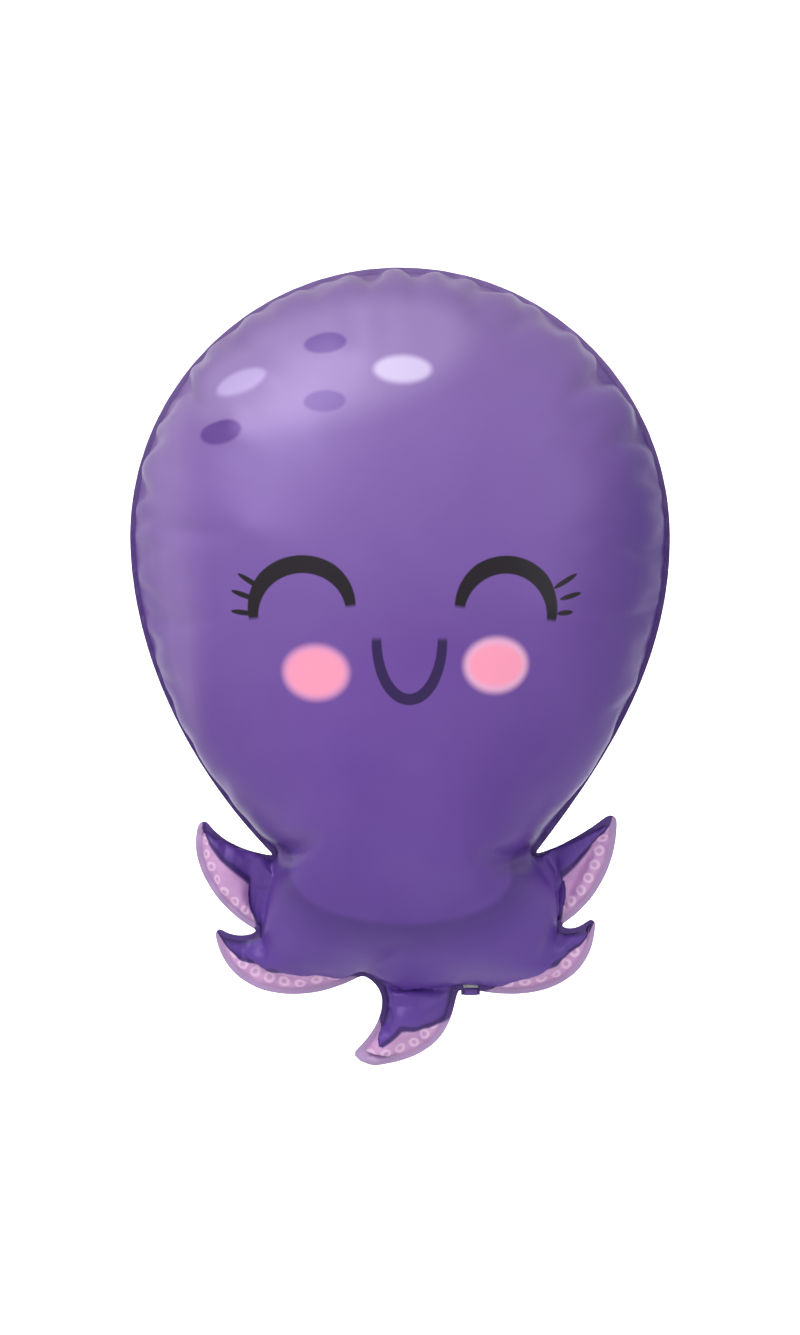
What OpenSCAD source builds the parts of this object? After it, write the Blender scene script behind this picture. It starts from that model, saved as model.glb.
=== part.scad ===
// Octopus foil balloon, inflated. Two films are heat-sealed round one outline: a round head that
// tapers to a skirt, and five tentacles that flex about the fold lines between their notches.
// X to the viewer's right, Z up, front of the face towards -Y. The seal lies in the plane Y = 0.
// The origin is the centre of the balloon's box.

/* [Head] */
// Radius of the gas-filled round of the head
head_r = 251.5; // [248:0.5:254]
// Height of the centre of that round above the origin
head_z = 123.5; // [122:0.5:125]
// How far the egg-shaped taper would run below the head's centre
taper_l = 380; // [375:1:390]
// Half of the inflated thickness at the fullest point
head_puff = 150; // [120:1:150]

/* [Film] */
// Wall thickness of a film at the head's crown
film_t = 0.3; // [0.25:0.05:0.6]
// Width of the heat seal round the outline
seal_w = 5; // [4:0.5:6]
// Thickness of the two films where they are sealed together
seal_t = 0.4; // [0.3:0.05:0.6]

/* [Tentacles] */
// Greatest half thickness of a tentacle
tentacle_puff = 25; // [18:1:28]
// Half thickness of a tentacle as a share of its half width, where that is less
tentacle_round = 0.85; // [0.6:0.05:0.9]
// Gap between the head's film and a tentacle's film along their fold line
fold_gap = 0.5; // [0.4:0.05:0.6]

/* [Fill tail and valve] */
// Width of the fill tail
tail_w = 18; // [16:1:19]
// Length of the fill tail below its crease
tail_l = 58; // [50:1:65]
// How far the folded tail stands off from straight up, in degrees
tail_lean = 60; // [55:1:70]
// Width of the weld along each edge of the tail
tail_weld = 3; // [2.5:0.5:3.5]
// Radius of the hole that the string is tied through
tie_hole_r = 3; // [2:0.5:3]
// Distance from the crease to that hole
tie_hole_at = 50; // [40:1:50]
// Width of the flat valve inside the neck
valve_w = 14; // [12:1:15]
// Length of the valve
valve_l = 42; // [30:1:45]

/* [Hidden] */

purple = "#7b5ba8";
deep_purple = "#5a3f8c";
pink = "#d59ac8";
silver = "#c9ccd2";
clear_film = "#e4e8ea";

// Each tentacle's trimmed outline as two Bezier edges [x, z] that run from its fold line to its
// tip: the outer edge is the pink underside, the inner edge the purple back. The last entry is a
// point well inside it.
upper_left = [
    [[-135, -250], [-172, -232], [-205, -185], [-191, -147]],
    [[-120, -178.5], [-140, -176], [-170, -168], [-184, -145]],
    [-152, -207]];
lower_left = [
    [[-36, -292], [-85, -322], [-165, -320], [-176, -252]],
    [[-135, -250], [-145, -257], [-162, -256], [-172, -247]],
    [-112, -288]];
bottom = [
    [[56, -306], [48, -322], [55, -372], [-30, -379]],
    [[-36, -292], [-5, -305], [-14, -340], [-47, -368]],
    [14, -338]];
lower_right = [
    [[78, -307.5], [112, -315], [184, -312], [186, -242]],
    [[152, -245], [160, -251], [172, -248], [181, -238]],
    [128, -287]];
upper_right = [
    [[152, -245], [188, -224], [208, -182], [206, -142]],
    [[128, -177], [148, -173], [178, -156], [199, -139]],
    [158, -203]];

// The head's film ends and the skirt's begins at the waist
waist_z = -174;
// Height on the left below which the egg-shaped outline gives way to the skirt's
notch_left_z = -176;
// Exponents of the egg-shaped taper
taper_a = 1.9;
taper_b = 0.76;
// Points towards which the inner walls of the head and the skirt shrink
head_heart = [0, 0];
skirt_heart = [5, -235];
// Greatest half thickness of the skirt
skirt_puff = 60;
// Share of the outer wall's size that the inner wall has
head_shrink = 1 - film_t / head_puff;
skirt_shrink = 1 - film_t / skirt_puff;
tentacle_shrink = 1 - film_t / tentacle_puff;

apex_gap = 0.2;       // how far short of the bottom fold's right end the skirt's last row stops
crown_turn = 1.5;     // degrees off the top where the head's first row starts
crown_rows = 13;      // rows of facets from the top of the head to its widest point
taper_rows = 13;      // rows of facets from the widest point to the waist
head_cols = 20;       // facets across the head
tentacle_rows = 8;    // rows of facets along a tentacle
tentacle_cols = 8;    // facets across a tentacle
tip_share = 0.9;      // share of a tentacle's edge that holds gas
root_share = 0.5;     // share of its length over which a tentacle swells from its fold
tip_half = 2;         // half width of the gas-filled tip
leaf_t = 0.2;         // thickness of one leaf of the fill tail
crease_gap = 0.5;     // bare crease on either side of the tail's fold
neck_l = 5;           // length of the neck between the gas and the crease
tail_x = 67;          // middle of the fill tail
crease_z = -310.7;    // height of the tail's crease
valve_z = -304;       // lower end of the valve
valve_gap = 0.1;      // flat channel between the two valve films
valve_t = 0.2;        // thickness of a valve film
valve_weld = 2.5;     // width of the weld along each side of the valve
tail_leaf_w = tail_w - 2 * tail_weld;
$fn = 48;

// ---- outlines ----

function bezier(p, t) =
    p[0] * pow(1 - t, 3) + 3 * p[1] * t * pow(1 - t, 2) + 3 * p[2] * t * t * (1 - t) + p[3] * pow(t, 3);
function bezier_turn(p, t) =
    (p[1] - p[0]) * pow(1 - t, 2) + 2 * (p[2] - p[1]) * t * (1 - t) + (p[3] - p[2]) * t * t;
function unit(v) = v / norm(v);
function across(v) = [-v[1], v[0]] / norm(v);
function crossed(a, b) = a[0] * b[1] - a[1] * b[0];

// A point on edge a, moved in by the seal's width towards edge b
function gas_point(a, b, t) =
    let (side = sign(crossed(bezier_turn(a, 0.5), bezier(b, 0.5) - bezier(a, 0.5))))
    bezier(a, t) + seal_w * side * across(bezier_turn(a, t));

// The fold line runs between a tentacle's two notches. These are its gas-filled ends
function fold_dir(arm) = unit(arm[1][0] - arm[0][0]);
function fold_out(arm) =
    let (n = across(fold_dir(arm))) n * sign(n * (arm[2] - arm[0][0]));
function fold_outer(arm) = arm[0][0] + seal_w * fold_dir(arm);
function fold_inner(arm) = arm[1][0] - seal_w * fold_dir(arm);

// Half width of the head at height z
function egg_w(z) =
    z >= head_z ? sqrt(max(0, pow(head_r, 2) - pow(z - head_z, 2)))
                : head_r * pow(1 - pow((head_z - z) / taper_l, taper_a), taper_b);
// Outward direction of the head's edge at height z, on the right
function egg_out(z) =
    z >= head_z ? [egg_w(z), z - head_z] / head_r
                : unit([2, egg_w(z - 1) - egg_w(z + 1)]);

function flip(p) = [p[1], p[0]];
function reversed(v) = [for (i = [1:len(v)]) v[len(v) - i]];
skirt_left = [
    [notch_left_z, -egg_w(notch_left_z)],
    flip(fold_inner(upper_left)), flip(fold_outer(upper_left)),
    flip(fold_inner(lower_left)), flip(fold_outer(lower_left)),
    flip(fold_inner(bottom)), flip(fold_outer(bottom))];
skirt_right = [
    [waist_z, egg_w(waist_z)],
    flip(fold_inner(upper_right)), flip(fold_outer(upper_right)),
    flip(fold_inner(lower_right)), flip(fold_outer(lower_right)),
    flip(fold_outer(bottom))];
skirt_end = fold_outer(bottom)[1] + apex_gap;
function left_x(z) = z > notch_left_z ? -egg_w(z) : lookup(z, skirt_left);
function right_x(z) = z > waist_z ? egg_w(z) : lookup(z, skirt_right);

// ---- film shells ----

// A row is [left end, right end, half thickness], with the ends as [x, z]
crown_z = [for (i = [0:crown_rows]) head_z + head_r * cos(crown_turn + (90 - crown_turn) * i / crown_rows)];
taper_z = [for (i = [1:taper_rows]) head_z + (waist_z - head_z) * i / taper_rows];
skirt_z = [
    waist_z, notch_left_z, fold_inner(upper_right)[1], fold_inner(upper_left)[1], -197, -212, -227,
    fold_outer(upper_right)[1], fold_outer(upper_left)[1], fold_inner(lower_right)[1],
    fold_inner(lower_left)[1], -264, -277, fold_outer(lower_left)[1], fold_inner(bottom)[1],
    -298, -302, fold_outer(lower_right)[1], skirt_end];
function head_h(z) =
    z == crown_z[0] ? 0
    : z >= head_z ? head_puff * egg_w(z) / head_r
    : head_puff * (1 - pow((head_z - z) / (head_z - skirt_end), 2));
function rows_at(heights) = [for (z = heights) [[left_x(z), z], [right_x(z), z], head_h(z)]];
head_rows = rows_at(concat(crown_z, taper_z));
skirt_rows = rows_at(skirt_z);

function tentacle_rows_of(arm) = [
    for (i = [0:tentacle_rows])
        let (
            t = tip_share * i / tentacle_rows,
            a = i == 0 ? fold_inner(arm) + fold_gap * fold_out(arm) : gas_point(arm[1], arm[0], t),
            b = i == 0 ? fold_outer(arm) + fold_gap * fold_out(arm) : gas_point(arm[0], arm[1], t),
            swell = sin(90 * min(1, i / tentacle_rows / root_share)),
            h = min(tentacle_puff, tentacle_round * norm(b - a) / 2) * swell)
        i < tentacle_rows ? [a, b, h]
                          : [(a + b) / 2 - tip_half * unit(b - a), (a + b) / 2 + tip_half * unit(b - a), 0]];

// Closed shell of the front film: a domed outer wall over the rows, an inner wall that is the same
// dome shrunk towards the heart, and a flat rim between them in the seal's plane
module front_shell(rows, cols, heart, shrink) {
    n = len(rows);
    m = cols + 1;
    outer = [
        for (r = rows, j = [0:cols])
            let (s = -cos(180 * j / cols), p = (r[0] + r[1]) / 2 + (r[1] - r[0]) / 2 * s)
            [p[0], -r[2] * sin(180 * j / cols), p[1]]];
    inner = [
        for (p = outer)
            [heart[0] + (p[0] - heart[0]) * shrink, p[1] * shrink, heart[1] + (p[2] - heart[1]) * shrink]];
    rim = concat(
        [for (j = [0:cols]) j],
        [for (i = [1:n - 1]) i * m + cols],
        [for (j = [1:cols]) (n - 1) * m + cols - j],
        [for (i = [1:n - 2]) (n - 1 - i) * m]);
    walls = [
        for (i = [0:n - 2], j = [0:cols - 1])
            let (a = i * m + j)
            each [[a, a + m + 1, a + 1], [a, a + m, a + m + 1]]];
    inner_walls = [for (f = walls) [f[2] + n * m, f[1] + n * m, f[0] + n * m]];
    rim_faces = [
        for (k = [0:len(rim) - 1])
            let (a = rim[k], b = rim[(k + 1) % len(rim)])
            each [[a, b, a + n * m], [b, b + n * m, a + n * m]]];
    polyhedron(concat(outer, inner), concat(walls, inner_walls, rim_faces), convexity = 6);
}

// ---- flat sheets in the seal's plane ----

// Turns an [x, y] outline into a sheet that stands in the XZ plane, from y_low to y_high
module standing(y_low, y_high) {
    translate([0, y_high, 0]) rotate([90, 0, 0]) linear_extrude(height = y_high - y_low) children();
}

// The welded rim of the head, from one upper notch over the crown to the other
module head_band_2d() {
    right = [for (r = head_rows) r[1]];
    left = [for (r = head_rows) r[0]];
    right_trim = [for (p = right) p + seal_w * egg_out(p[1])];
    left_trim = [for (p = left) let (n = egg_out(p[1])) p + seal_w * [-n[0], n[1]]];
    polygon(concat(reversed(right), left, reversed(left_trim), right_trim));
}

// The small gussets of sealed film in the notches between the tentacles
module notch_welds_2d() {
    polygon([
        [-egg_w(waist_z), waist_z], upper_left[1][0], fold_inner(upper_left),
        [-egg_w(notch_left_z), notch_left_z]]);
    polygon([fold_outer(upper_left), upper_left[0][0], fold_inner(lower_left)]);
    polygon([fold_outer(lower_left), lower_left[0][0], fold_inner(bottom)]);
    polygon([fold_outer(bottom), bottom[0][0], lower_right[0][0], fold_outer(lower_right)]);
    polygon([fold_inner(lower_right), lower_right[1][0], fold_outer(upper_right)]);
    polygon([fold_inner(upper_right), upper_right[1][0], [egg_w(waist_z), waist_z]]);
}

module neck_2d() {
    translate([tail_x - tail_w / 2, crease_z + crease_gap]) square([tail_w, neck_l]);
}

// A tentacle's welded rim: its trimmed outline less the gas-filled part
module tentacle_band_2d(arm) {
    rows = tentacle_rows_of(arm);
    n = tentacle_rows;
    shift = fold_gap * fold_out(arm);
    trim_outer = concat([arm[0][0] + shift], [for (i = [1:n]) bezier(arm[0], i / n)]);
    trim_inner = concat([arm[1][0] + shift], [for (i = [1:n]) bezier(arm[1], i / n)]);
    tip = (arm[0][3] + arm[1][3]) / 2;
    tip_w = norm(arm[0][3] - arm[1][3]);
    tip_out = unit(tip - (rows[n - 1][0] + rows[n - 1][1]) / 2);
    gas_inner = concat([rows[0][0] - fold_out(arm)], [for (r = rows) r[0]]);
    gas_outer = concat([rows[0][1] - fold_out(arm)], [for (r = rows) r[1]]);
    difference() {
        polygon(concat(trim_inner, [tip + tip_out * tip_w / 3], reversed(trim_outer)));
        polygon(concat(gas_inner, reversed(gas_outer)));
    }
}

// ---- the head and the skirt ----

module head_front_film() {
    color(purple) front_shell(head_rows, head_cols, head_heart, head_shrink);
}

module head_back_film() {
    color(purple) mirror([0, 1, 0]) front_shell(head_rows, head_cols, head_heart, head_shrink);
}

module skirt_front_film() {
    color(purple) front_shell(skirt_rows, head_cols, skirt_heart, skirt_shrink);
}

module skirt_back_film() {
    color(purple) mirror([0, 1, 0]) front_shell(skirt_rows, head_cols, skirt_heart, skirt_shrink);
}

module head_seal_band() {
    color(deep_purple) standing(-seal_t / 2, seal_t / 2) {
        head_band_2d();
        difference() {
            notch_welds_2d();
            neck_2d();
        }
    }
}

// ---- the tentacles ----

module tentacle_film(arm) {
    color(purple) front_shell(tentacle_rows_of(arm), tentacle_cols, arm[2], tentacle_shrink);
}

module tentacle_band(arm) {
    color(pink) standing(-seal_t / 2, seal_t / 2) tentacle_band_2d(arm);
}

module upper_left_front_film() tentacle_film(upper_left);
module upper_left_back_film() mirror([0, 1, 0]) tentacle_film(upper_left);
module upper_left_seal_band() tentacle_band(upper_left);
module lower_left_front_film() tentacle_film(lower_left);
module lower_left_back_film() mirror([0, 1, 0]) tentacle_film(lower_left);
module lower_left_seal_band() tentacle_band(lower_left);
module bottom_front_film() tentacle_film(bottom);
module bottom_back_film() mirror([0, 1, 0]) tentacle_film(bottom);
module bottom_seal_band() tentacle_band(bottom);
module lower_right_front_film() tentacle_film(lower_right);
module lower_right_back_film() mirror([0, 1, 0]) tentacle_film(lower_right);
module lower_right_seal_band() tentacle_band(lower_right);
module upper_right_front_film() tentacle_film(upper_right);
module upper_right_back_film() mirror([0, 1, 0]) tentacle_film(upper_right);
module upper_right_seal_band() tentacle_band(upper_right);

// ---- the fill tail ----

// Short stretch of both films between the seal and the tail's crease
module tail_neck() {
    color(silver) standing(-leaf_t, leaf_t) neck_2d();
}

// Puts a tail piece that stands on the crease, along +Z, in its folded place behind the skirt
module folded_tail() {
    translate([tail_x, 0, crease_z]) rotate([-tail_lean, 0, 0]) children();
}

module tie_hole() {
    translate([0, 0, tie_hole_at]) rotate([90, 0, 0])
        cylinder(h = 10 * leaf_t, r = tie_hole_r, center = true);
}

module tail_leaf(y_low) {
    difference() {
        translate([-tail_leaf_w / 2, y_low, crease_gap]) cube([tail_leaf_w, leaf_t, tail_l - crease_gap]);
        tie_hole();
    }
}

module tail_front_leaf() {
    color(purple) folded_tail() tail_leaf(-leaf_t);
}

module tail_back_leaf() {
    color(silver) folded_tail() tail_leaf(0);
}

module tail_side_welds() {
    color(deep_purple) folded_tail()
        for (side = [-1, 1])
            translate([side * (tail_w - tail_weld) / 2 - tail_weld / 2, -leaf_t, crease_gap])
                cube([tail_weld, 2 * leaf_t, tail_l - crease_gap]);
}

// ---- the self-sealing valve, flat inside the neck ----

module valve_film(y_low) {
    w = valve_w - 2 * valve_weld;
    translate([tail_x - w / 2, y_low, valve_z]) cube([w, valve_t, valve_l]);
}

module valve_front_film() {
    color(clear_film) valve_film(-valve_gap / 2 - valve_t);
}

module valve_back_film() {
    color(clear_film) valve_film(valve_gap / 2);
}

module valve_side_welds() {
    color(clear_film)
        for (side = [-1, 1])
            translate([tail_x + side * (valve_w - valve_weld) / 2, 0, valve_z + valve_l / 2])
                cube([valve_weld, valve_gap + 2 * valve_t, valve_l], center = true);
}

head_front_film();
head_back_film();
skirt_front_film();
skirt_back_film();
head_seal_band();
upper_left_front_film();
upper_left_back_film();
upper_left_seal_band();
lower_left_front_film();
lower_left_back_film();
lower_left_seal_band();
bottom_front_film();
bottom_back_film();
bottom_seal_band();
lower_right_front_film();
lower_right_back_film();
lower_right_seal_band();
upper_right_front_film();
upper_right_back_film();
upper_right_seal_band();
tail_neck();
tail_front_leaf();
tail_back_leaf();
tail_side_welds();
valve_front_film();
valve_back_film();
valve_side_welds();
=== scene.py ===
"""Foil balloon in the shape of a smiling octopus, filled with gas.

Two printed films are cut to one flat pattern and heat-sealed round its edge. The pattern is laid out
here in millimetres, meshed, and blown up with the cloth solver while the sealed rim is drawn in to the
outline of the filled balloon. The result is parted into the head's films and each tentacle's films,
split at the fold lines between the notches, and the welded rim round them. A fill tail with
its valve is folded up behind.
"""
import math

import bmesh
import bpy
from mathutils import Matrix, Vector
from mathutils.geometry import delaunay_2d_cdt, interpolate_bezier
from mathutils.kdtree import KDTree


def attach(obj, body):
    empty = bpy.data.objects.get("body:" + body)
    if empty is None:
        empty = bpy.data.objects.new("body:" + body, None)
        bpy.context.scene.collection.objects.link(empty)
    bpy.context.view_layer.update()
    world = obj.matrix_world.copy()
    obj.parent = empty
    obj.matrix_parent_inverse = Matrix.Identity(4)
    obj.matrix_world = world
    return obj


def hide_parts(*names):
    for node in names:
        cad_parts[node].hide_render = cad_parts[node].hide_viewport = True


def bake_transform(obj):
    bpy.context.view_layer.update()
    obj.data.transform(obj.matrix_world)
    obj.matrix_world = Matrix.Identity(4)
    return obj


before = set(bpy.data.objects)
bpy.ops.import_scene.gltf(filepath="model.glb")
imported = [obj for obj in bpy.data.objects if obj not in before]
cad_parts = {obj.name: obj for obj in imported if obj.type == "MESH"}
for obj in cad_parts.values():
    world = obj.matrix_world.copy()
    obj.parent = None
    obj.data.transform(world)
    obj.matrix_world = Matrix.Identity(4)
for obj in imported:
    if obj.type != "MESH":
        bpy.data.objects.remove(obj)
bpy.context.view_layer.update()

# ---- sizes, in millimetres unless a name says otherwise ----

MM = 0.001
SEAL_W = 5.0            # width of the welded rim
RIM_T = 0.4             # thickness of the two films where they are welded
FILM_STEP = 8.0    # spacing of the film's mesh
FILL_STEPS = 30      # solver frames from flat to full
DRAW_IN_STEPS = 8                          # frames over which the gas draws the rim in
TIP_SHARE = 0.9         # share of a tentacle's edge that holds gas
GATHER_W = 22.0         # spacing of the small gathers along the rim
GATHER_H = 1.1          # how far they stand out of its plane
GATHER_R = 300          # the head's mean radius, about which they are counted
CAD_HALF_DEPTH = 0.15   # metres
SMOOTHING = 3           # passes that ease the solver's sharpest folds on the head
MAP_MIDDLE = 0.5        # where the pattern's origin lies on its map, which is in metres
ARC = 0.5523            # handle length of a quarter circle of radius 1


def crown(radius, height):
    """The round top of the head as two quarter circles, from its right to its left."""
    handle = ARC * radius
    right = [(radius, height), (radius, height + handle), (handle, height + radius), (0, height + radius)]
    left = [(0, height + radius), (-handle, height + radius), (-radius, height + handle), (-radius, height)]
    return right, left


CUT_CROWN = crown(336, 129)
FILLED_CROWN = crown(256.5, 123.5)

# The balloon's edge as Bezier curves, in order from its right notch up over the crown and round, seen
# from the front. The first curve of each pair is the flat cut, the second where the filled edge lies.
EDGES = {
    "right_side": (
        [(209, -220), (273, -132), (336, -26), (336, 129)],
        [(128, -177), (196, -89), (256.5, 4), (256.5, 123.5)]),
    "right_crown": (CUT_CROWN[0], FILLED_CROWN[0]),
    "left_crown": (CUT_CROWN[1], FILLED_CROWN[1]),
    "left_side": (
        [(-336, 129), (-336, -30), (-273, -134), (-197, -230)],
        [(-256.5, 123.5), (-255, 11), (-198, -100), (-120, -178.5)]),
    "upper_left_back": (
        [(-197, -230), (-218, -225), (-250, -236), (-280, -246)],
        [(-120, -178.5), (-140, -176), (-170, -168), (-184, -145)]),
    "upper_left_belly": (
        [(-283, -254), (-285, -294), (-216, -331), (-170, -306)],
        [(-191, -147), (-205, -185), (-172, -232), (-135, -250)]),
    "lower_left_back": (
        [(-170, -306), (-173, -320), (-186, -332), (-201, -327)],
        [(-135, -250), (-145, -257), (-162, -256), (-172, -247)]),
    "lower_left_belly": (
        [(-200, -336), (-159, -382), (-97, -367), (-41, -362)],
        [(-176, -252), (-165, -320), (-85, -322), (-36, -292)]),
    "bottom_back": (
        [(-41, -362), (-10, -365), (-32, -413), (-34, -457)],
        [(-36, -292), (-5, -305), (-14, -340), (-47, -368)]),
    "bottom_belly": (
        [(-14, -460), (70, -435), (55, -387), (61, -369)],
        [(-30, -379), (55, -372), (48, -322), (56, -306)]),
    "neck": (
        [(61, -369), (68, -370), (75, -372), (82, -373)],
        [(56, -306), (63, -306.5), (71, -307), (78, -307.5)]),
    "lower_right_belly": (
        [(82, -373), (121, -365), (174, -377), (216, -329)],
        [(78, -307.5), (112, -315), (184, -312), (186, -242)]),
    "lower_right_back": (
        [(215, -321), (201, -327), (191, -315), (188, -305)],
        [(181, -238), (172, -248), (160, -251), (152, -245)]),
    "upper_right_belly": (
        [(188, -305), (230, -324), (281, -290), (291, -252)],
        [(152, -245), (188, -224), (208, -182), (206, -142)]),
    "upper_right_back": (
        [(293, -246), (258, -226), (221, -216), (209, -220)],
        [(199, -139), (178, -156), (148, -173), (128, -177)]),
}
TENTACLES = ["upper_left", "lower_left", "bottom", "lower_right", "upper_right"]
FRONT, BACK, RIM = 0, 1, 2      # the three layers of each region
LAYERS = 3

# share of a tentacle's width that is pink, where that starts along it and over what share it widens
PINK_SHARE = {"upper_left": 0.48, "lower_left": 0.4, "bottom": 0.5, "lower_right": 0.4, "upper_right": 0.48}
PINK_RUN = {
    "upper_left": (0, 0.25), "lower_left": (0, 0.3), "bottom": (0.2, 0.45), "lower_right": (0, 0.3),
    "upper_right": (0, 0.25),
}
PINK_TIP, PINK_TIP_RUN = 0.86, 0.1      # the same for the bottom tentacle's tip, which is pink right across


# ---- the flat pattern ----

def edge_points(curve, count):
    """count + 1 points along a Bezier edge."""
    return interpolate_bezier(*[Vector((x, z, 0)) for x, z in curve], count + 1)


def edge_length(curve):
    """The length of a Bezier edge."""
    points = edge_points(curve, 30)
    return sum((b - a).length for a, b in zip(points, points[1:]))


def inset(points):
    """The points moved in by the seal's width, to the left of their direction of travel."""
    moved = []
    for i, point in enumerate(points):
        ahead = points[min(i + 1, len(points) - 1)] - points[max(i - 1, 0)]
        moved.append(point + SEAL_W * Vector((-ahead.y, ahead.x, 0)).normalized())
    return moved


def runs_to_tip(edge):
    """Whether a tentacle's edge is drawn from its root to its tip: its back, but its belly on the right."""
    return edge.endswith("belly" if "right" in edge else "back")


def root_ends(tentacle, back, belly):
    """The root ends of a tentacle's back and belly, each given in the order in which it is drawn."""
    return (back[0], belly[-1]) if runs_to_tip(tentacle + "_back") else (back[-1], belly[0])


class Pattern:
    """The marks on the flat film: each has its place on the cut and on the filled balloon."""

    def __init__(self):
        self.cut, self.filled = [], []
        self.outline, self.gas_line = [], []
        self.edges, self.folds = {}, {}
        for name, (cut_curve, filled_curve) in EDGES.items():
            self.draw_edge(name, cut_curve, filled_curve)
        self.pinned = len(self.cut)
        for tentacle in TENTACLES:
            self.draw_fold(tentacle)

    def mark(self, cut, filled, line):
        """Adds a mark to a line, or takes the line's first or last mark if that is where it falls."""
        for near in line[-1:] + line[:1]:
            if (self.cut[near] - cut).length < 0.45 * SEAL_W:
                if line[-1] != near and near != line[0]:
                    line.append(near)
                return near
        self.cut.append(cut)
        self.filled.append(filled)
        line.append(len(self.cut) - 1)
        return line[-1]

    def draw_edge(self, name, cut_curve, filled_curve):
        """Marks an edge and, inside it, the line that the gas reaches; the tips are welded shut."""
        count = max(2, round(edge_length(cut_curve) / FILM_STEP))
        cut, filled = edge_points(cut_curve, count), edge_points(filled_curve, count)
        self.edges[name] = [self.mark(a, b, self.outline) for a, b in zip(cut, filled)]
        gas = list(zip(inset(cut), inset(filled)))
        blunt = round(count * (1 - TIP_SHARE)) if name.endswith(("back", "belly")) else 0
        if blunt:
            gas = gas[:-blunt] if runs_to_tip(name) else gas[blunt:]
        for a, b in gas:
            self.mark(a, b, self.gas_line)

    def draw_fold(self, tentacle):
        """Marks the line between a tentacle's two notches, about which it bends."""
        back, belly = self.edges[tentacle + "_back"], self.edges[tentacle + "_belly"]
        first, last = root_ends(tentacle, back, belly)
        start, span = self.cut[first], self.cut[last] - self.cut[first]
        clear = (SEAL_W + 0.6 * FILM_STEP) / span.length
        count = round(span.length / FILM_STEP)
        line = [first]
        for i in range(1, count):
            if clear < i / count < 1 - clear:
                self.cut.append(start + span * i / count)
                line.append(len(self.cut) - 1)
        self.folds[tentacle] = line + [last]

    def tentacle_loop(self, tentacle):
        """The marks round a tentacle, its fold line included."""
        back, belly = self.edges[tentacle + "_back"], self.edges[tentacle + "_belly"]
        fold = self.folds[tentacle]
        if runs_to_tip(tentacle + "_back"):
            return back + belly + fold[-2:0:-1]
        return belly + back + fold[1:-1]

    def triangles(self):
        """Points and triangles that cover the cut, with the regions that each triangle lies in."""
        tree = KDTree(len(self.cut))
        for i, point in enumerate(self.cut):
            tree.insert(point, i)
        tree.balance()
        reach = max(max(abs(point.x), abs(point.y)) for point in self.cut)
        row_step = FILM_STEP * math.sqrt(0.75)
        rows, columns = math.ceil(reach / row_step), math.ceil(reach / FILM_STEP)
        lattice = [
            Vector(((column + row % 2 / 2) * FILM_STEP, row * row_step, 0))
            for row in range(-rows, rows + 1)
            for column in range(-columns, columns + 1)
        ]
        lattice = [point for point in lattice if tree.find(point)[2] > 0.72 * FILM_STEP]
        creases = [pair for line in self.folds.values() for pair in zip(line, line[1:])]
        regions = [self.outline, self.gas_line] + [self.tentacle_loop(name) for name in TENTACLES]
        points = [point.xy for point in self.cut + lattice]
        return delaunay_2d_cdt(points, creases, regions, 1, 1e-3, True)


def flat_envelope(pattern):
    """Both films laid flat on each other and joined along the gas line, as one mesh."""
    points, _, triangles, origins, _, regions = pattern.triangles()
    bm = bmesh.new()
    filled = bm.verts.layers.float_vector.new("filled")
    pinned = bm.verts.layers.int.new("pinned")
    uv = bm.loops.layers.uv.new("cut")
    verts = [bm.verts.new((point.x * MM, 0, point.y * MM)) for point in points]
    for vert, marks in zip(verts, origins):
        held = [i for i in marks if i < pattern.pinned]
        if held:
            place = pattern.filled[held[0]]
            vert[filled] = (place.x * MM, 0, place.y * MM)
            vert[pinned] = 1
    for triangle, inside in zip(triangles, regions):
        if 0 not in inside:
            continue
        face = bm.faces.new([verts[i] for i in triangle])
        tentacle = max(inside) - 1 if max(inside) > 1 else 0
        face.material_index = LAYERS * tentacle + (FRONT if 1 in inside else RIM)
        for loop in face.loops:
            loop[uv].uv = (loop.vert.co.x + MAP_MIDDLE, loop.vert.co.z + MAP_MIDDLE)
    bmesh.ops.delete(bm, geom=[v for v in bm.verts if not v.link_faces], context="VERTS")
    for face in bm.faces:
        face.normal_update()
    bmesh.ops.reverse_faces(bm, faces=[face for face in bm.faces if face.normal.y > 0])

    front = [face for face in bm.faces if face.material_index % LAYERS == FRONT]
    copy = bmesh.ops.duplicate(bm, geom=front)
    back = [item for item in copy["geom"] if isinstance(item, bmesh.types.BMFace)]
    bmesh.ops.reverse_faces(bm, faces=back)
    for face in back:
        face.material_index += BACK - FRONT
    for vert in bm.verts:
        if not vert[pinned]:
            outward = sum((face.normal.y for face in vert.link_faces), 0.0)
            vert.co.y = math.copysign(MM, outward)
    seam = [vert for vert in bm.verts if vert[pinned]]
    bmesh.ops.remove_doubles(bm, verts=seam, dist=0.1 * MM)
    return bm


def gather_height(place):
    """How far the rim waves out of its plane at a place on it, in metres."""
    turn = math.atan2(place.z - 0.05, place.x)
    round_it = 2 * math.pi * GATHER_R / GATHER_W
    wave = math.sin(round_it * turn) + 0.6 * math.sin(0.63 * round_it * turn + 1)
    return GATHER_H * MM * wave


# ---- filling it with gas ----

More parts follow.
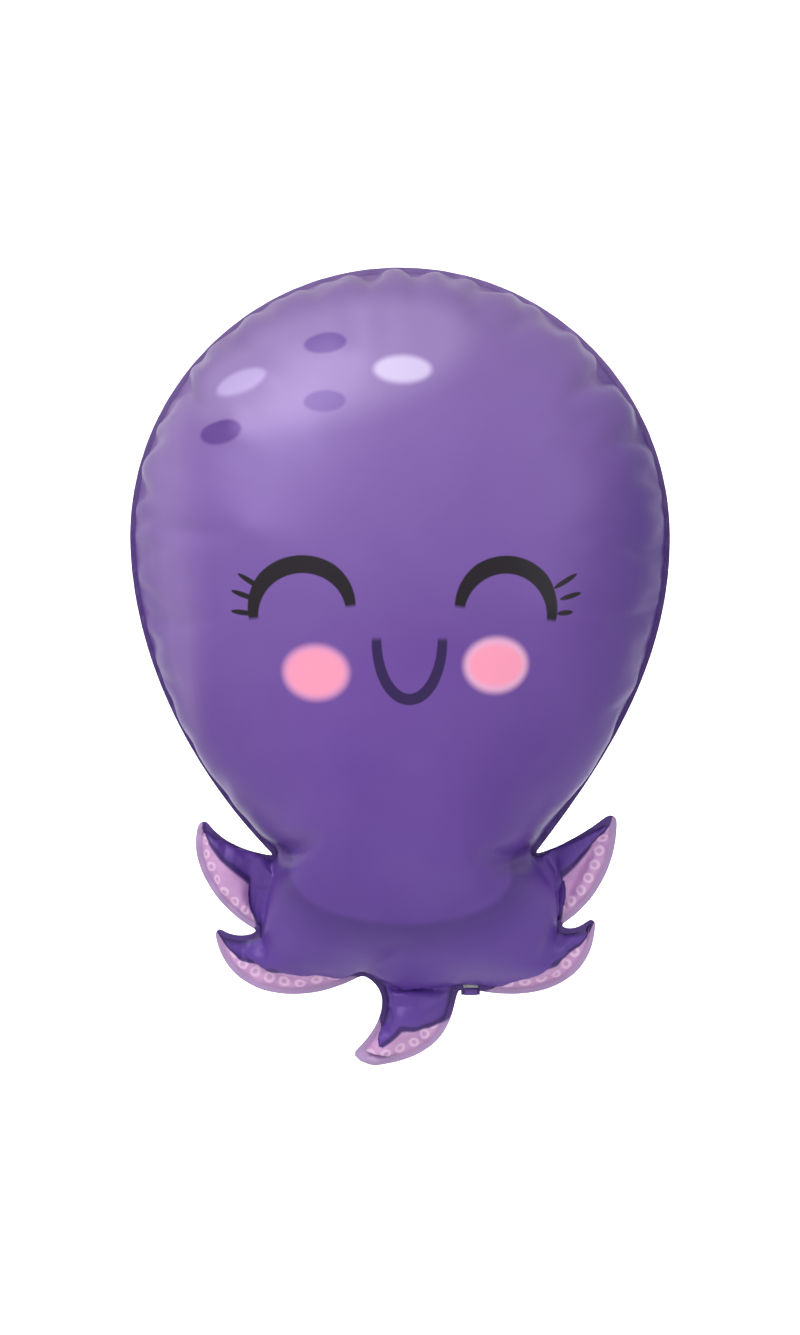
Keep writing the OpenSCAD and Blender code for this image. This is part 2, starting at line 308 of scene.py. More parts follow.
def fill(bm):
    """Blows the flat envelope up and returns the filled mesh."""
    mesh = bpy.data.meshes.new("envelope")
    filled, pinned = bm.verts.layers.float_vector["filled"], bm.verts.layers.int["pinned"]
    bm.verts.index_update()
    held = {vert.index: Vector(vert[filled]) for vert in bm.verts if vert[pinned]}
    bm.to_mesh(mesh)
    bm.free()
    envelope = bpy.data.objects.new("envelope", mesh)
    bpy.context.scene.collection.objects.link(envelope)
    envelope.shape_key_add(name="cut")
    drawn_in = envelope.shape_key_add(name="drawn in")
    for i, place in held.items():
        drawn_in.data[i].co = place + Vector((0, gather_height(place), 0))
    rim = envelope.vertex_groups.new(name="rim")
    rim.add(list(held), 1.0, "REPLACE")
    gas = envelope.vertex_groups.new(name="gas")
    gas.add([i for i in range(len(mesh.vertices)) if i not in held], 1.0, "REPLACE")

    cloth = envelope.modifiers.new("film", "CLOTH")
    film = cloth.settings
    film.quality = 6
    film.mass = 0.02
    film.air_damping = 5
    film.tension_stiffness = 80
    film.compression_stiffness = 0.4
    film.shear_stiffness = 1
    film.bending_stiffness = 0.1
    film.tension_damping = film.compression_damping = film.shear_damping = 5
    film.bending_damping = 0.5
    film.vertex_group_mass = "rim"
    film.use_pressure = True
    film.uniform_pressure_force = 20
    film.vertex_group_pressure = "gas"
    film.effector_weights.gravity = 0
    cloth.collision_settings.use_collision = False
    cloth.point_cache.frame_start = 1
    cloth.point_cache.frame_end = FILL_STEPS
    for step, value in ((1, 0.0), (DRAW_IN_STEPS, 1.0)):
        drawn_in.value = value
        drawn_in.keyframe_insert("value", frame=step)
    scene = bpy.context.scene
    for step in range(1, FILL_STEPS + 1):
        scene.frame_set(step)
    full = bpy.data.meshes.new_from_object(envelope.evaluated_get(bpy.context.evaluated_depsgraph_get()))
    scene.frame_set(1)
    bpy.data.objects.remove(envelope)
    bpy.data.meshes.remove(mesh)
    return full


# ---- what the print and the gathers follow ----

def mark_surface(bm):
    """Stores what the print and the gathers follow, at each vertex.

    from_rim and along are its distances from the gas line and along the edge. arm holds how far along a
    tentacle's belly it lies and how far in from it. underside is above 0 where the tentacle is pink.
    """
    uv = bm.loops.layers.uv["cut"]
    from_rim = bm.verts.layers.float.new("from_rim")
    along = bm.verts.layers.float.new("along")
    underside = bm.verts.layers.float.new("underside")
    arm = bm.verts.layers.float_vector.new("arm")
    trees, lengths, walked = {}, {}, 0.0
    for name, (cut_curve, _) in EDGES.items():
        points = edge_points(cut_curve, 150)
        trees[name] = KDTree(len(points))
        lengths[name] = [walked]
        for i, point in enumerate(points):
            trees[name].insert(point, i)
            if i:
                walked += (point - points[i - 1]).length
                lengths[name].append(walked)
        trees[name].balance()
    for vert in bm.verts:
        face = max(vert.link_faces, key=lambda f: f.material_index)
        corner = next(loop for loop in face.loops if loop.vert == vert)
        place = Vector((corner[uv].uv.x - MAP_MIDDLE, corner[uv].uv.y - MAP_MIDDLE, 0)) / MM
        found = {name: tree.find(place) for name, tree in trees.items()}
        nearest = min(found, key=lambda name: found[name][2])
        vert[from_rim] = (found[nearest][2] - SEAL_W) * MM
        vert[along] = lengths[nearest][found[nearest][1]] * MM
        vert[underside] = -1.0
        region = face.material_index // LAYERS
        if not region:
            continue
        name = TENTACLES[region - 1]
        _, step, off_belly = found[name + "_belly"]
        off_back = found[name + "_back"][2]
        belly = lengths[name + "_belly"]
        done = belly[step] - belly[0]
        if not runs_to_tip(name + "_belly"):
            done = belly[-1] - belly[step]
        share = done / (belly[-1] - belly[0])
        across = off_belly / (off_belly + off_back + 0.01)
        start, widening = PINK_RUN[name]
        pink = PINK_SHARE[name] * min(1, max(0, share - start) / widening)
        if name == "bottom":
            pink = max(pink, (share - PINK_TIP) / PINK_TIP_RUN)
        vert[underside] = pink - across
        vert[arm] = (done * MM, off_belly * MM, 0)


# ---- colours and materials ----

def srgb(code):
    """A colour written as #RRGGBB, as the renderer's linear values."""
    parts = [int(code[i:i + 2], 16) / 255 for i in (1, 3, 5)]
    return tuple(c / 12.92 if c < 0.04045 else ((c + 0.055) / 1.055) ** 2.4 for c in parts) + (1.0,)


def node(tree, kind, inputs=None, **settings):
    """Adds a node with its settings, and fills its inputs with values or links."""
    made = tree.nodes.new("ShaderNode" + kind)
    for name, value in settings.items():
        setattr(made, name, value)
    for key, value in (inputs or {}).items():
        if isinstance(value, bpy.types.Node):
            value = next(output for output in value.outputs if output.enabled)
        if isinstance(value, bpy.types.NodeSocket):
            tree.links.new(value, made.inputs[key])
        else:
            made.inputs[key].default_value = value
    return made


def new_material(name):
    """An empty node material: its tree and its shader."""
    material = bpy.data.materials.new(name)
    material.use_nodes = True
    return material, material.node_tree, material.node_tree.nodes["Principled BSDF"]


def off_oval(tree, place, centre, half, turn):
    """How far a place on the film is outside an oval, in metres; negative inside it."""
    size = (half[0] * MM, half[1] * MM, 1)
    middle = (centre[0] * MM + MAP_MIDDLE, centre[1] * MM + MAP_MIDDLE, 0)
    near = node(
        tree, "Mapping", {"Vector": place, "Location": middle, "Rotation": (0, 0, math.radians(turn))},
        vector_type="TEXTURE")
    share = node(tree, "VectorMath", {0: near, 1: size}, operation="DIVIDE")
    slope = node(tree, "VectorMath", {0: share, 1: size}, operation="DIVIDE")
    reach = node(tree, "VectorMath", {0: share}, operation="LENGTH")
    rate = node(tree, "VectorMath", {0: slope}, operation="LENGTH")
    past = node(tree, "Math", {0: reach, 1: 1.0}, operation="SUBTRACT")
    scaled = node(tree, "Math", {0: past, 1: reach}, operation="MULTIPLY")
    return near, node(tree, "Math", {0: scaled, 1: rate}, operation="DIVIDE")


# the ground colour, from the tentacles to the crown: the print's violet, with painted shade deepening it
# towards the tentacles and painted light paling it towards the crown
VIOLETS_WITH_PAINTED_SHADE = [(0.0, "#623F9E"), (0.22, "#5C3997"), (0.5, "#69459A"), (0.72, "#7B5DA4"), (1.0, "#846A9E")]
EYE_INK, MOUTH_INK = "#140A18", "#2C1650"
# Ovals on the head, the painted light and shade first and then the print: middle, half sizes, turn in
# degrees, width of the soft edge, colour, strength.
# The back has the same ones at its top, mirrored through the film, and no face.
PAINTED_LIGHT_AND_SHADE = [
    ((-70, 292), (165, 84), 12, 45, "#A892C4", 0.4),       # painted highlight: a pale bloom on the brow
    ((-235, 130), (60, 230), 3, 60, "#A58BC2", 0.3),       # painted highlight: a pale band down the left side
    ((300, 30), (150, 360), 4, 140, "#4F2F8A", 0.8),        # painted shade: deeper violet on the right cheek
]
SPOTS = [
    ((-71, 307), (23, 14), 0, 5, "#6A4A98", 0.85),
    ((-69, 247), (22, 13), 0, 5, "#6E4F9B", 0.8),
    ((-171, 223), (25, 15), 4, 5, "#5A3688", 0.95),
    ((3, 277), (31, 18), 0, 9, "#D3C5EA", 0.9),
    ((-154, 275), (31, 17), 12, 9, "#BCA8DA", 0.8),
]
CHEEKS = [
    ((-77, -4), (36, 30), 0, 9, "#F6A6CF", 0.75),
    ((-77, -4), (30, 24), 0, 7, "#FF9DBB", 1.0),
    ((90, 3), (35, 30), 0, 9, "#FBBBDD", 0.85),
    ((90, 3), (29, 23), 0, 7, "#FF9FBE", 1.0),
]
# Lashes: middle, half sizes, turn.
LASHES = [
    ((-139, 80), (14, 2.6), 150), ((-145, 67), (14, 2.6), 162), ((-146, 51), (13, 2.6), 174),
    ((157, 81), (14, 2.6), 30), ((163, 67), (12, 2.6), 16), ((157, 51), (9, 2.6), 4),
]
# Arches: middle, half sizes, turn, half the stroke's width at its thickest and at its ends, 1 for the
# upper half of the oval and -1 for the lower, colour.
ARCHES = [
    ((-90, 52), (46, 43), 7, 8.6, 5.0, 1, EYE_INK),
    ((99, 51), (44, 44), -8, 8.6, 5.0, 1, EYE_INK),
    ((9.5, 26), (30, 54), 0, 5.4, 4.6, -1, MOUTH_INK),
]
# Suckers, in metres: spacing along the belly, distance in from it, and radii of the disc and its cup.
SUCKER_PITCH, SUCKER_ROW = 0.017, 0.0145
SUCKER_DISC, SUCKER_CUP = 0.0056, 0.0022
SUCKER_SOFT = 0.0012


def printed_film(name, with_face):
    """Nylon film, metallised inside and printed in violet, with painted light and shade over the print: a
    satin, slightly milky gloss.
    """
    material, tree, shader = new_material(name)
    place = node(tree, "UVMap", uv_map="cut")
    flat = node(tree, "SeparateXYZ", {0: place})
    # violet that deepens from the crown's upper left to the tentacles: painted light and shade over the
    # print's violet
    lean = node(tree, "Math", {0: flat.outputs[0], 1: -0.28, 2: flat.outputs[1]}, operation="MULTIPLY_ADD")
    level = node(tree, "MapRange", {0: lean, 1: -0.14, 2: 0.86})
    ramp = node(tree, "ValToRGB", {0: level})
    while len(ramp.color_ramp.elements) < len(VIOLETS_WITH_PAINTED_SHADE):
        ramp.color_ramp.elements.new(0.5)
    for element, (position, code) in zip(ramp.color_ramp.elements, VIOLETS_WITH_PAINTED_SHADE):
        element.position = position
        element.color = srgb(code)
    cloudy = node(tree, "TexNoise", {"Vector": place, "Scale": 9.0, "Detail": 3.0})
    cloud = node(tree, "MapRange", {0: cloudy, 1: 0.35, 2: 0.75, 3: 0.0, 4: 0.1})
    colour = node(tree, "Mix", {0: cloud, 6: ramp, 7: srgb("#9A7FC6")}, data_type="RGBA")
    # the painted highlights and shade first, then the printed spots and cheeks
    for middle, half, turn, soft, code, strength in PAINTED_LIGHT_AND_SHADE + SPOTS + (CHEEKS if with_face else []):
        _, off = off_oval(tree, place, middle, half, turn)
        ink = node(
            tree, "MapRange", {0: off, 1: 0.0, 2: -soft * MM, 3: 0.0, 4: strength},
            interpolation_type="SMOOTHSTEP")
        colour = node(tree, "Mix", {0: ink, 6: colour, 7: srgb(code)}, data_type="RGBA")
    if with_face:
        for middle, half, turn, thick, thin, side, code in ARCHES:
            near, off = off_oval(tree, place, middle, half, turn)
            height = node(tree, "SeparateXYZ", {0: near})
            rise = node(tree, "Math", {0: height.outputs[1], 1: side / (half[1] * MM)}, operation="MULTIPLY")
            stroke = node(tree, "MapRange", {0: rise, 1: 0.0, 2: 0.9, 3: thin * MM, 4: thick * MM})
            away = node(tree, "Math", {0: off}, operation="ABSOLUTE")
            past = node(tree, "Math", {0: stroke, 1: away}, operation="SUBTRACT")
            inside = node(tree, "MapRange", {0: past, 1: -0.4 * MM, 2: 0.8 * MM})
            upper = node(tree, "MapRange", {0: rise, 1: -0.06, 2: 0.02})
            ink = node(tree, "Math", {0: inside, 1: upper}, operation="MULTIPLY")
            colour = node(tree, "Mix", {0: ink, 6: colour, 7: srgb(code)}, data_type="RGBA")
        for middle, half, turn in LASHES:
            _, off = off_oval(tree, place, middle, half, turn)
            ink = node(tree, "MapRange", {0: off, 1: 0.4 * MM, 2: -0.6 * MM})
            colour = node(tree, "Mix", {0: ink, 6: colour, 7: srgb(EYE_INK)}, data_type="RGBA")
    # the chin: a soft shadow under a rounded point, so that the tentacles seem to come from behind it
    _, off = off_oval(tree, place, (2, -122), (188, 126), 0)
    below = node(tree, "MapRange", {0: flat.outputs[1], 1: 0.36, 2: 0.3})
    shade = node(tree, "MapRange", {0: off, 1: 0.05, 2: 0.0, 3: 0.0, 4: 0.62})
    edge = node(tree, "MapRange", {0: off, 1: -0.004, 2: 0.006}, interpolation_type="SMOOTHSTEP")
    chin = node(tree, "Math", {0: shade, 1: edge}, operation="MULTIPLY")
    chin = node(tree, "Math", {0: chin, 1: below}, operation="MULTIPLY")
    colour = node(tree, "Mix", {0: chin, 6: colour, 7: srgb("#402870")}, data_type="RGBA")

    arm = node(tree, "Attribute", attribute_name="arm").outputs["Vector"]
    on_arm = node(tree, "SeparateXYZ", {0: arm})
    underside = node(tree, "Attribute", attribute_name="underside").outputs["Fac"]
    from_rim = node(tree, "Attribute", attribute_name="from_rim").outputs["Fac"]
    along = node(tree, "Attribute", attribute_name="along").outputs["Fac"]
    # pale pink undersides with a row of suckers
    mottle = node(tree, "TexNoise", {"Vector": place, "Scale": 55.0, "Detail": 2.0})
    pink = node(tree, "Mix", {0: mottle, 6: srgb("#B581C0"), 7: srgb("#E3B4DE")}, data_type="RGBA")
    pitch = node(tree, "Math", {0: on_arm.outputs[0], 1: SUCKER_PITCH}, operation="DIVIDE")
    phase = node(tree, "Math", {0: pitch}, operation="FRACT")
    offset = node(tree, "Math", {0: phase, 1: 0.5}, operation="SUBTRACT")
    step = node(tree, "Math", {0: offset, 1: SUCKER_PITCH}, operation="MULTIPLY")
    row = node(tree, "Math", {0: on_arm.outputs[1], 1: SUCKER_ROW}, operation="SUBTRACT")
    spot = node(tree, "CombineXYZ", {0: step, 1: row})
    spot_off = node(tree, "VectorMath", {0: spot}, operation="LENGTH")
    for radius, strength, code in ((SUCKER_DISC, 0.75, "#F0CDEB"), (SUCKER_CUP, 0.7, "#C289C4")):
        ring = node(tree, "MapRange", {0: spot_off, 1: radius + SUCKER_SOFT, 2: radius, 3: 0.0, 4: strength})
        pink = node(tree, "Mix", {0: ring, 6: pink, 7: srgb(code)}, data_type="RGBA")
    under = node(tree, "MapRange", {0: underside, 1: -0.01, 2: 0.03})
    colour = node(tree, "Mix", {0: under, 6: colour, 7: pink}, data_type="RGBA")
    # dark violet lines: between the violet and the pink, and inside the welded edge
    centred = node(tree, "Math", {0: underside, 1: 0.03}, operation="ADD")
    gap = node(tree, "Math", {0: centred}, operation="ABSOLUTE")
    line = node(tree, "MapRange", {0: gap, 1: 0.055, 2: 0.02, 3: 0.0, 4: 0.8})
    colour = node(tree, "Mix", {0: line, 6: colour, 7: srgb("#38235F")}, data_type="RGBA")
    low = node(tree, "MapRange", {0: flat.outputs[1], 1: 0.5, 2: 0.36, 3: 0.25, 4: 0.9})
    rim_line = node(tree, "MapRange", {0: from_rim, 1: 0.0055, 2: 0.001})
    violet = node(tree, "MapRange", {0: under, 1: 1.0, 2: 0.0, 3: 0.25, 4: 1.0})
    rim_line = node(tree, "Math", {0: rim_line, 1: low}, operation="MULTIPLY")
    rim_line = node(tree, "Math", {0: rim_line, 1: violet}, operation="MULTIPLY")
    colour = node(tree, "Mix", {0: rim_line, 6: colour, 7: srgb("#33215A")}, data_type="RGBA")

    # fine gathers that run in from the weld and die out, and a slow unevenness of the film
    around = node(tree, "Math", {0: along, 1: 95.0}, operation="MULTIPLY")
    inwards = node(tree, "Math", {0: from_rim, 1: 14.0}, operation="MULTIPLY")
    pulled = node(tree, "CombineXYZ", {0: around, 1: inwards})
    gathers = node(tree, "TexNoise", {"Vector": pulled, "Scale": 1.0, "Detail": 2.0})
    fading = node(tree, "MapRange", {0: from_rim, 1: 0.055, 2: 0.002}, interpolation_type="SMOOTHSTEP")
    pleats = node(tree, "Math", {0: gathers, 1: fading}, operation="MULTIPLY")
    waves = node(tree, "TexNoise", {"Vector": place, "Scale": 14.0, "Detail": 2.0})
    uneven = node(tree, "Math", {0: waves, 1: 0.35, 2: pleats}, operation="MULTIPLY_ADD")
    bump = node(tree, "Bump", {"Strength": 0.6, "Distance": 0.0025, "Height": uneven})
    wear = node(tree, "MapRange", {0: waves, 1: 0.3, 2: 0.7, 3: 0.36, 4: 0.46})
    for socket, value in (("Base Color", colour), ("Normal", bump), ("Roughness", wear)):
        tree.links.new(next(output for output in value.outputs if output.enabled), shader.inputs[socket])
    shader.inputs["Metallic"].default_value = 0.1
    shader.inputs["Specular IOR Level"].default_value = 0.35
    shader.inputs["Coat Weight"].default_value = 0.1
    shader.inputs["Coat Roughness"].default_value = 0.3
    return material


def welded_film(name, plain):
    """Two films heat-sealed together: crimped, a little duller, violet or pink with the print beside it, and
    painted paler towards the crown as painted light.
    """
    material, tree, shader = new_material(name)
    place = node(tree, "UVMap", uv_map="cut")
    crimp = node(tree, "TexWave", {"Vector": place, "Scale": 420.0}, bands_direction="DIAGONAL")
    bump = node(tree, "Bump", {"Strength": 0.5, "Distance": 0.0003, "Height": crimp})
    underside = node(tree, "Attribute", attribute_name="underside").outputs["Fac"]
    under = node(tree, "MapRange", {0: underside, 1: 0.0, 2: 0.05, 3: 0.0, 4: 0.85})
    mix = node(tree, "Mix", {0: under, 6: srgb(plain), 7: srgb("#BFA0CC")}, data_type="RGBA")
    # painted light: the rim is painted paler towards the crown
    height = node(tree, "SeparateXYZ", {0: place})
    lit = node(tree, "MapRange", {0: height.outputs[1], 1: 0.62, 2: 0.9, 3: 0.0, 4: 0.7})
    mix = node(tree, "Mix", {0: lit, 6: mix, 7: srgb("#8F76AE")}, data_type="RGBA")
    tree.links.new(mix.outputs[2], shader.inputs["Base Color"])
    tree.links.new(bump.outputs[0], shader.inputs["Normal"])
    shader.inputs["Metallic"].default_value = 0.2
    shader.inputs["Roughness"].default_value = 0.42
    return material


def bare_film(name, colour, metallic, roughness, see_through=0.0):
    """Plain film with the fine creases that handling leaves in it."""
    material, tree, shader = new_material(name)
    here = node(tree, "TexCoord").outputs["Object"]
    creases = node(tree, "TexNoise", {"Vector": here, "Scale": 160.0, "Detail": 3.0})
    bump = node(tree, "Bump", {"Strength": 0.4, "Distance": 0.0006, "Height": creases})
    tree.links.new(bump.outputs[0], shader.inputs["Normal"])
    shader.inputs["Base Color"].default_value = srgb(colour)
    shader.inputs["Metallic"].default_value = metallic
    shader.inputs["Roughness"].default_value = roughness
    shader.inputs["Transmission Weight"].default_value = see_through
    return material


# ---- the balloon's pieces ----

def smoothed(mesh):
    """The mesh brought to the balloon's thickness and subdivided once."""
    bm = bmesh.new()
    bm.from_mesh(mesh)
    free = [
        vert for vert in bm.verts
        if {face.material_index for face in vert.link_faces} in ({FRONT}, {BACK})
    ]
    for _ in range(SMOOTHING):
        bmesh.ops.smooth_vert(bm, verts=free, factor=0.5, use_axis_x=True, use_axis_y=True, use_axis_z=True)
    bm.to_mesh(mesh)
    bm.free()
    deepest = max(abs(vert.co.y) for vert in mesh.vertices)
    mesh.transform(Matrix.Diagonal((1, CAD_HALF_DEPTH / deepest, 1, 1)))
    whole = bpy.data.objects.new("whole", mesh)
    bpy.context.scene.collection.objects.link(whole)
    divide = whole.modifiers.new("fine", "SUBSURF")
    divide.levels = divide.render_levels = 1
    fine = bpy.data.meshes.new_from_object(whole.evaluated_get(bpy.context.evaluated_depsgraph_get()))
    bpy.data.objects.remove(whole)
    bpy.data.meshes.remove(mesh)
    return fine


def fold_line(name):
    """The middle of a tentacle's fold line and the way out along the tentacle, in metres."""
    back, belly = EDGES[name + "_back"][1], EDGES[name + "_belly"][1]
    first, last = root_ends(name, back, belly)
    tip = back[-1] if first == back[0] else back[0]
    middle = Vector(((first[0] + last[0]) / 2, 0, (first[1] + last[1]) / 2)) * MM
    across = Vector((last[0] - first[0], 0, last[1] - first[1])).normalized()
    outward = Vector((-across.z, 0, across.x))
    if outward.dot(Vector((tip[0], 0, tip[1])) * MM - middle) < 0:
        outward.negate()
    return middle, outward


def add_piece(name, bm, material, smooth=True):
    """Puts a piece's mesh in the scene."""
    mesh = bpy.data.meshes.new(name)
    for face in bm.faces:
        face.smooth = smooth
        face.material_index = 0
    bm.to_mesh(mesh)
    bm.free()
    mesh.materials.append(material)
    piece = bpy.data.objects.new(name, mesh)
    bpy.context.scene.collection.objects.link(piece)
    return piece


def part_balloon(mesh, materials):
    """Parts the balloon into the head's films, each tentacle's films and the rims between them."""
    whole = bmesh.new()
    whole.from_mesh(mesh)
    mark_surface(whole)
    # how far past its fold line each tentacle's cut edge bulges
    past_fold = [0.0] * (len(TENTACLES) + 1)
    folds = [None] + [fold_line(name) for name in TENTACLES]
    for vert in whole.verts:
        regions = {face.material_index // LAYERS for face in vert.link_faces}
        for region in regions - {0} if 0 in regions else ():
            middle, outward = folds[region]
            past_fold[region] = max(past_fold[region], (vert.co - middle).dot(outward))
    for layer, kind, node_kind in (
            (FRONT, "front_foil", "front_film"), (BACK, "back_foil", "back_film"), (RIM, "rim", "seal_band")):
        side = whole.copy()
        others = [face for face in side.faces if face.material_index % LAYERS != layer]
        bmesh.ops.delete(side, geom=others, context="FACES")
        side.normal_update()
        for region, body in enumerate(["head"] + TENTACLES):
            part = side.copy()
            normal = part.verts.layers.float_vector.new("whole_normal")
            for vert in part.verts:
                vert[normal] = vert.normal
            others = [face for face in part.faces if face.material_index // LAYERS != region]
            bmesh.ops.delete(part, geom=others, context="FACES")
            normals = [vert[normal].copy() for vert in part.verts]
            part.verts.layers.float_vector.remove(normal)
            if layer == RIM:
                bmesh.ops.solidify(part, geom=part.faces[:], thickness=RIM_T * MM)
                centre_y = sum(vert.co.y for vert in part.verts) / len(part.verts)
                bmesh.ops.translate(part, verts=part.verts[:], vec=-Vector((0, centre_y, 0)))
                piece = add_piece(f"{body}_{kind}", part, materials[layer], smooth=False)
            else:
                piece = add_piece(f"{body}_{kind}", part, materials[layer])
                piece.data.normals_split_custom_set_from_vertices(normals)
            if region:
                middle, outward = folds[region]
                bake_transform(piece)
            else:
                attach(piece, "head")
            nodes = [f"{body}_{node_kind}"]
            if not region and layer != RIM:
                nodes.append(f"skirt_{node_kind}")
            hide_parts(*nodes)
        side.free()
    whole.free()


# ---- fill tail and valve ----

TAIL_X, TAIL_W, TAIL_L = 67.0, 18.0, 58.0
TAIL_WELD, VALVE_WELD = 3.0, 2.5        # widths of the welded sides
NECK_TOP, CREASE_Z = -305.2, -310.7
CREASE_TURN = math.radians(120)         # how far the tail is folded up from straight down
CREASE_R = 0.9
HOLE_R, HOLE_AT, HOLE_SIDES = 3.0, 50.0, 24
VALVE_TOP, VALVE_L, VALVE_W = -262.0, 42.0, 14.0
STRIP_STEP = 1.5                        # spacing of the strips' mesh
SWELL = 0.35                            # how far the open middle of a strip stands proud


def tail_path(done):
    """Where the tail's middle runs in y and z, and its turn from straight down, at a length along it."""
    straight = NECK_TOP - CREASE_Z - CREASE_R * math.tan(CREASE_TURN / 4)
    turn = min(max(done - straight, 0) / CREASE_R, CREASE_TURN)
    y, z = CREASE_R * (1 - math.cos(turn)), NECK_TOP - min(done, straight) - CREASE_R * math.sin(turn)
    rest = max(done - straight - CREASE_R * CREASE_TURN, 0)
    curl = 0.9 * math.sin(rest / 11) * min(rest / 12, 1)
    y += rest * math.sin(turn) - curl * math.cos(turn)
    z -= rest * math.cos(turn) + curl * math.sin(turn)
    return y, z, turn


def valve_path(done):
    """The valve runs straight down inside the balloon to the neck."""
    return 0.0, VALVE_TOP - done, 0.0


def strip(path, left, right, length, offset, thickness, hole=None):
    """A strip of film that follows a path, set off from it towards its front, with an open middle that
    stands a little proud of its welded sides."""
    columns, rows = max(2, round((right - left) / STRIP_STEP)), round(length / STRIP_STEP)
    places = [(left, 0), (right, 0), (right, length), (left, length)]
    loops = [list(range(4))]
    if hole:
        angles = [2 * math.pi * i / HOLE_SIDES for i in range(HOLE_SIDES)]
        places += [(TAIL_X + HOLE_R * math.cos(a), hole + HOLE_R * math.sin(a)) for a in angles]
        loops.append(list(range(4, 4 + HOLE_SIDES)))
    for row in range(rows + 1):
        for column in range(columns + 1):
            x, s = left + (right - left) * column / columns, length * row / rows
            corner = (row in (0, rows)) and (column in (0, columns))
            if corner or (hole and math.hypot(x - TAIL_X, s - hole) < HOLE_R + 0.7):
                continue
            places.append((x, s))
    points, _, faces, _, _, inside = delaunay_2d_cdt([Vector(c) for c in places], [], loops, 1, 1e-4, True)
    bm = bmesh.new()
    verts = []
    for x, s in points:
        y, z, turn = path(s)
        swell = math.sin(math.pi * (x - left) / (right - left)) ** 2 * min(1, s / 8)
        out = offset + math.copysign(SWELL, offset) * swell if offset else 0.0
        verts.append(bm.verts.new(Vector((x, y - out * math.cos(turn), z - out * math.sin(turn))) * MM))
    for face, where in zip(faces, inside):
        if 0 in where and 1 not in where:
            bm.faces.new([verts[i] for i in face])
    bmesh.ops.delete(bm, geom=[v for v in bm.verts if not v.link_faces], context="VERTS")
    bmesh.ops.recalc_face_normals(bm, faces=bm.faces[:])
    bmesh.ops.solidify(bm, geom=bm.faces[:], thickness=thickness * MM)
    bmesh.ops.recalc_face_normals(bm, faces=bm.faces[:])
    return bm


def joined(*parts):
    """Several meshes as one."""
    whole = parts[0]
    for part in parts[1:]:
        mesh = bpy.data.meshes.new("part")
        part.to_mesh(mesh)
        whole.from_mesh(mesh)
        part.free()
        bpy.data.meshes.remove(mesh)
    return whole


def add_tail(print_film, silver, weld):
    """The fill tail: two films welded along both sides, open between, folded up behind the balloon."""
    left, right = TAIL_X - TAIL_W / 2, TAIL_X + TAIL_W / 2
    length = NECK_TOP - CREASE_Z + TAIL_L
    hole = NECK_TOP - CREASE_Z + HOLE_AT
    inner = (left + TAIL_WELD, right - TAIL_WELD)
    pieces = [
        ("tail_printed_film", strip(tail_path, *inner, length, 0.35, 0.1, hole), print_film, "printed_foil",
         ["tail_front_leaf", "tail_neck"]),
        ("tail_silver_film", strip(tail_path, *inner, length, -0.35, 0.1, hole), silver, "silver_foil",
         ["tail_back_leaf"]),
        ("tail_welds", joined(strip(tail_path, left, inner[0], length, 0, 0.4),
                              strip(tail_path, inner[1], right, length, 0, 0.4)), weld, "sealed_rim",
         ["tail_side_welds"]),
    ]
    for name, bm, material, slot, nodes in pieces:
        piece = add_piece(name, bm, material)
        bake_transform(piece)
        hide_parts(*nodes)


def add_valve(film):
    """The valve: two soft films, welded along their sides, that the gas presses shut."""
    left, right = TAIL_X - VALVE_W / 2, TAIL_X + VALVE_W / 2
    inner = (left + VALVE_WELD, right - VALVE_WELD)
    pieces = [
        ("valve_front_sheet", strip(valve_path, *inner, VALVE_L, 0.12, 0.1), ["valve_front_film"]),
        ("valve_back_sheet", strip(valve_path, *inner, VALVE_L, -0.12, 0.1), ["valve_back_film"]),
        ("valve_welds", joined(strip(valve_path, left, inner[0], VALVE_L, 0, 0.3),
                               strip(valve_path, inner[1], right, VALVE_L, 0, 0.3)), ["valve_side_welds"]),
    ]
    for name, bm, nodes in pieces:
        piece = add_piece(name, bm, film)
        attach(piece, "head")
        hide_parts(*nodes)


# ---- stage, light and camera ----

FLOOR_Z, WALL_Y, SWEEP_HALF_W = -1.8, 6.0, 5.0      # metres


def add_sweep():
    """A pale floor that curves up into a pale wall."""
    turns = [math.pi / 24 * i for i in range(13)]
    profile = [(-SWEEP_HALF_W, FLOOR_Z)]
    profile += [(WALL_Y - 1 + math.sin(a), FLOOR_Z + 1 - math.cos(a)) for a in turns]
    profile += [(WALL_Y, 4.0)]
    bm = bmesh.new()
    verts = [bm.verts.new((-SWEEP_HALF_W, y, z)) for y, z in profile]
    edges = [bm.edges.new(pair) for pair in zip(verts, verts[1:])]
    swept = bmesh.ops.extrude_edge_only(bm, edges=edges)["geom"]
    far_side = [item for item in swept if isinstance(item, bmesh.types.BMVert)]
    bmesh.ops.translate(bm, verts=far_side, vec=(2 * SWEEP_HALF_W, 0, 0))
    bmesh.ops.recalc_face_normals(bm, faces=bm.faces[:])
    for face in bm.faces:
        face.smooth = True
    mesh = bpy.data.meshes.new("sweep")
    bm.to_mesh(mesh)
    bm.free()
    material, _, shader = new_material("matt white board")
    shader.inputs["Base Color"].default_value = srgb("#F4F4F4")
    shader.inputs["Roughness"].default_value = 0.9
    mesh.materials.append(material)
    sweep = bpy.data.objects.new("sweep", mesh)
    bpy.context.scene.collection.objects.link(sweep)


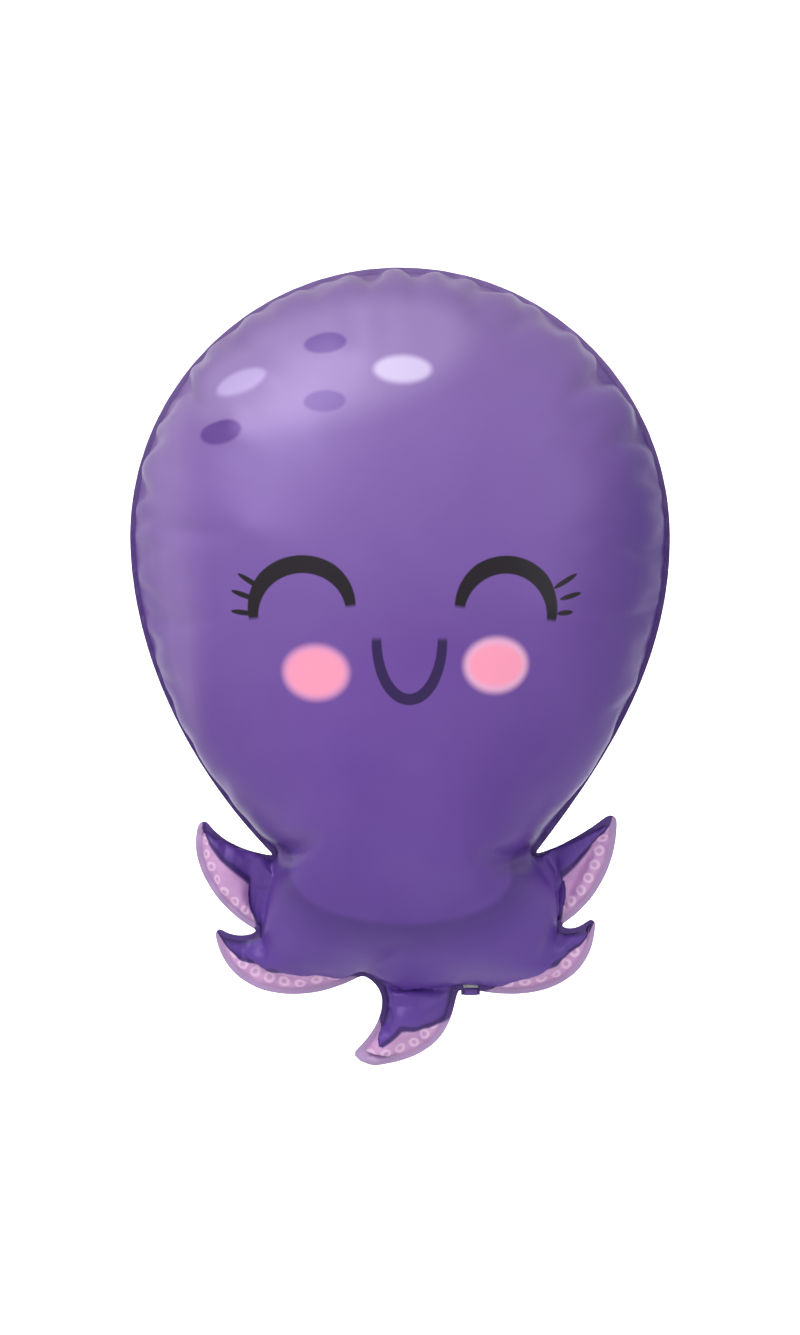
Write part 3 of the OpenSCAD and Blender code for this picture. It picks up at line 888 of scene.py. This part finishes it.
def add_light(name, place, target, power, size):
    """A soft square light aimed at a place."""
    light = bpy.data.lights.new(name, "AREA")
    light.energy = power
    light.size = size
    lamp = bpy.data.objects.new(name, light)
    lamp.location = place
    lamp.rotation_euler = (Vector(target) - Vector(place)).to_track_quat("-Z", "Y").to_euler()
    bpy.context.scene.collection.objects.link(lamp)


def set_stage():
    """The backdrop, the lights and the camera, which looks straight at the front."""
    scene = bpy.context.scene
    add_sweep()
    add_light("key", (-1.5, -2.2, 2.0), (0, 0, 0.05), 64, 2.0)
    add_light("fill", (2.2, -2.0, 0.5), (0, 0, 0), 9, 1.6)
    add_light("wall left", (-2.2, 3.9, 0.6), (-0.6, WALL_Y, 0), 75, 1.6)
    add_light("wall right", (2.2, 3.9, 0.6), (0.6, WALL_Y, 0), 75, 1.6)
    add_light("wall low", (0, 4.2, -0.9), (0, WALL_Y, -1.4), 30, 1.6)
    world = bpy.data.worlds.new("studio")
    world.use_nodes = True
    world.node_tree.nodes["Background"].inputs["Color"].default_value = (1, 1, 1, 1)
    world.node_tree.nodes["Background"].inputs["Strength"].default_value = 0.64
    scene.world = world
    scene.view_settings.view_transform = "Standard"
    lens = bpy.data.cameras.new("camera")
    lens.sensor_fit = "VERTICAL"
    lens.sensor_height = 36
    lens.lens = 100
    camera = bpy.data.objects.new("camera", lens)
    camera.location = (0, -3.522, 0)
    camera.rotation_euler = (math.pi / 2, 0, 0)
    scene.collection.objects.link(camera)
    scene.camera = camera


# ---- build ----

balloon = smoothed(fill(flat_envelope(Pattern())))
front_print = printed_film("printed nylon foil, front", with_face=True)
back_print = printed_film("printed nylon foil, back", with_face=False)
seal = welded_film("heat-sealed foil", "#52357F")
part_balloon(balloon, {FRONT: front_print, BACK: back_print, RIM: seal})
tail_print = bare_film("printed nylon foil, tail", "#6B4A9E", 0.15, 0.36)
silver = bare_film("silver metallised foil", "#C9CBD2", 0.95, 0.22)
add_tail(tail_print, silver, seal)
add_valve(bare_film("polyethylene valve film", "#E8ECF0", 0.0, 0.35, see_through=0.6))
set_stage()
